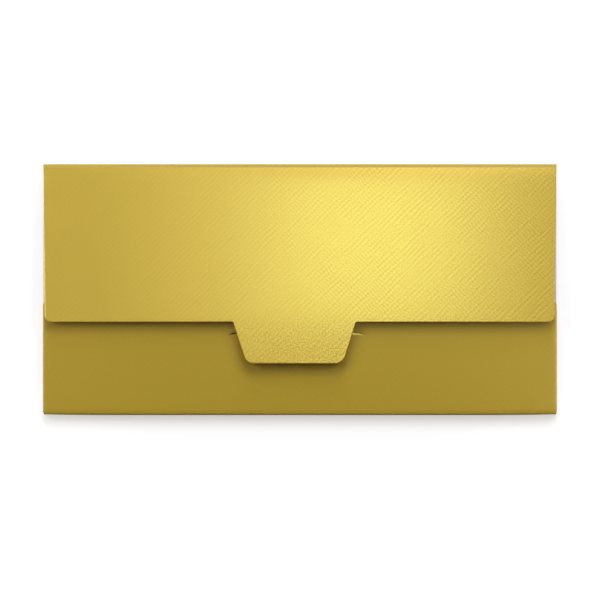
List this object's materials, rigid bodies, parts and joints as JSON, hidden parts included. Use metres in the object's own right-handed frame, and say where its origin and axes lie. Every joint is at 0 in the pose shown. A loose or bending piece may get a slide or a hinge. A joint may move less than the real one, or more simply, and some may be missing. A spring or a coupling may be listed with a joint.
{
  "type": "gift card holder",
  "caption": "Long flat wallet of gold embossed board: a flap with a tuck tongue closes over a glued pocket, and an insert inside holds a gift card by its corners.",
  "frame": {"origin": "middle of the resting face, which is the outside of the back panel; the wallet lies on its back", "axes": "+Z out of the front, +Y towards the top fold that carries the flap, +X to the right seen from the front"},
  "size_m": [0.215, 0.105, 0.0131],
  "materials": {
    "gold_board": "metallic gold laminate with a fine diagonal rib emboss, satin",
    "insert_board": "uncoated cream board, matt",
    "glue": "dried white glue, slightly translucent"
  },
  "bodies": {
    "wallet": {"back_panel": "gold_board", "bottom_spine": "gold_board", "front_panel": "gold_board", "left_gusset": "gold_board", "right_gusset": "gold_board", "left_glue_tab": "gold_board", "right_glue_tab": "gold_board", "left_glue_line": "glue", "right_glue_line": "glue", "card_insert": "insert_board", "insert_glue": "glue"},
    "spine": {"top_spine": "gold_board"},
    "flap": {"closure_flap": "gold_board"}
  },
  "joints": [
    {"name": "spine_crease", "type": "hinge", "parent": "wallet", "child": "spine", "pos_m": [0, 0.0521, 0.0004], "axis": [-1, 0, 0], "range_deg": [0, 90]},
    {"name": "flap_crease", "type": "hinge", "parent": "spine", "child": "flap", "pos_m": [0, 0.0521, 0.0069], "axis": [-1, 0, 0], "range_deg": [-4, 86]}
  ]
}
